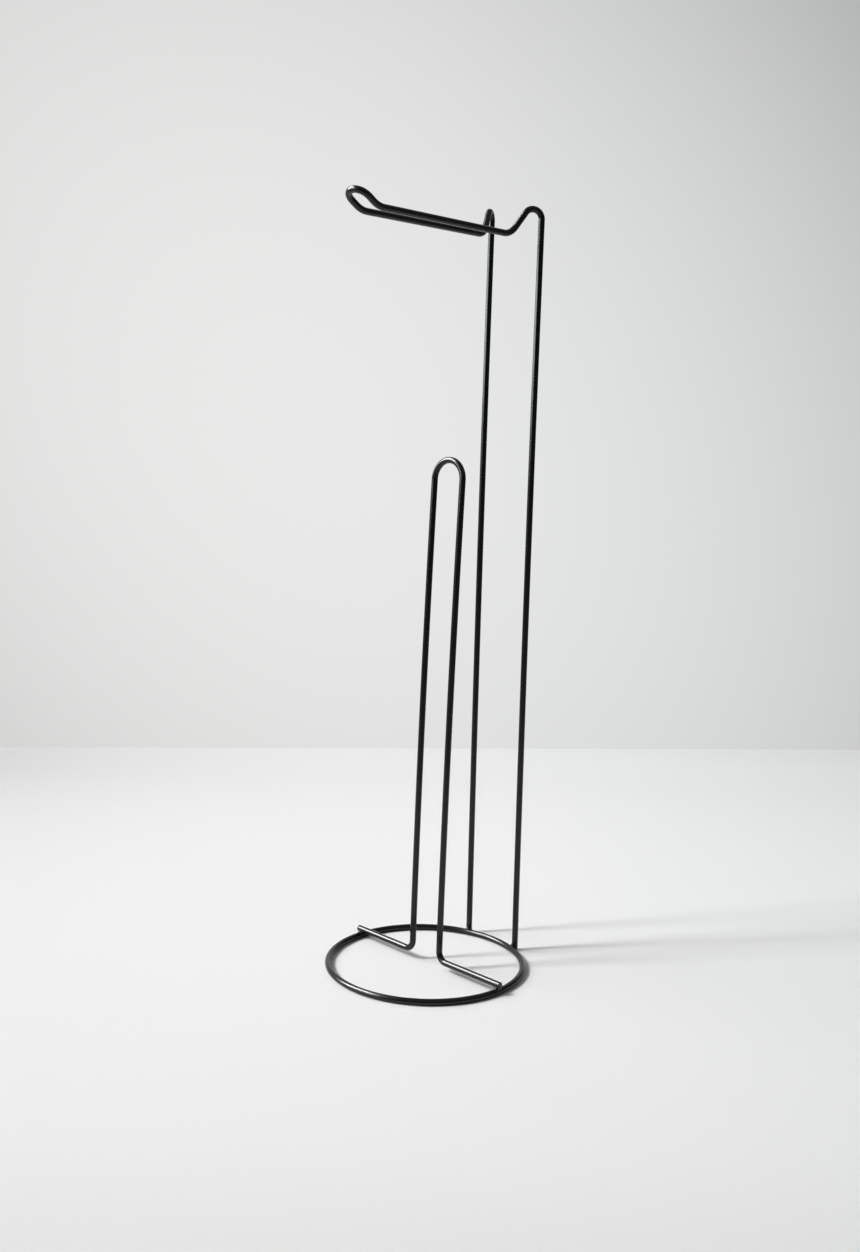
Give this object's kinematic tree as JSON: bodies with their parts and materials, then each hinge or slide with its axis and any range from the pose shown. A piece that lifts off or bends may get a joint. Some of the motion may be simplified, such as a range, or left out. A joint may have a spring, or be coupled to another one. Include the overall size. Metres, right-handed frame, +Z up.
{
  "type": "toilet roll holder",
  "caption": "Free-standing black wire toilet roll holder: round base ring, paired uprights bent into a forward roll arm, and a lower hoop for spare rolls.",
  "frame": {"origin": "on the floor under the middle of the whole object's box", "axes": "+Z up along the uprights, -Y the way the roll arm points, +X along the spare hoop's feet, to the right seen from the arm's tip"},
  "size_m": [0.16, 0.1769, 0.6037],
  "materials": {
    "black_coat": "satin black powder coat on steel wire",
    "black_coat_on_weld": "satin black powder coat over a weld bead"
  },
  "bodies": {
    "root": {"base_ring": "black_coat", "roll_arm_wire": "black_coat", "spare_roll_wire": "black_coat", "weld_upright_right": "black_coat_on_weld", "weld_upright_left": "black_coat_on_weld", "weld_foot_right": "black_coat_on_weld", "weld_foot_left": "black_coat_on_weld"}
  },
  "joints": []
}
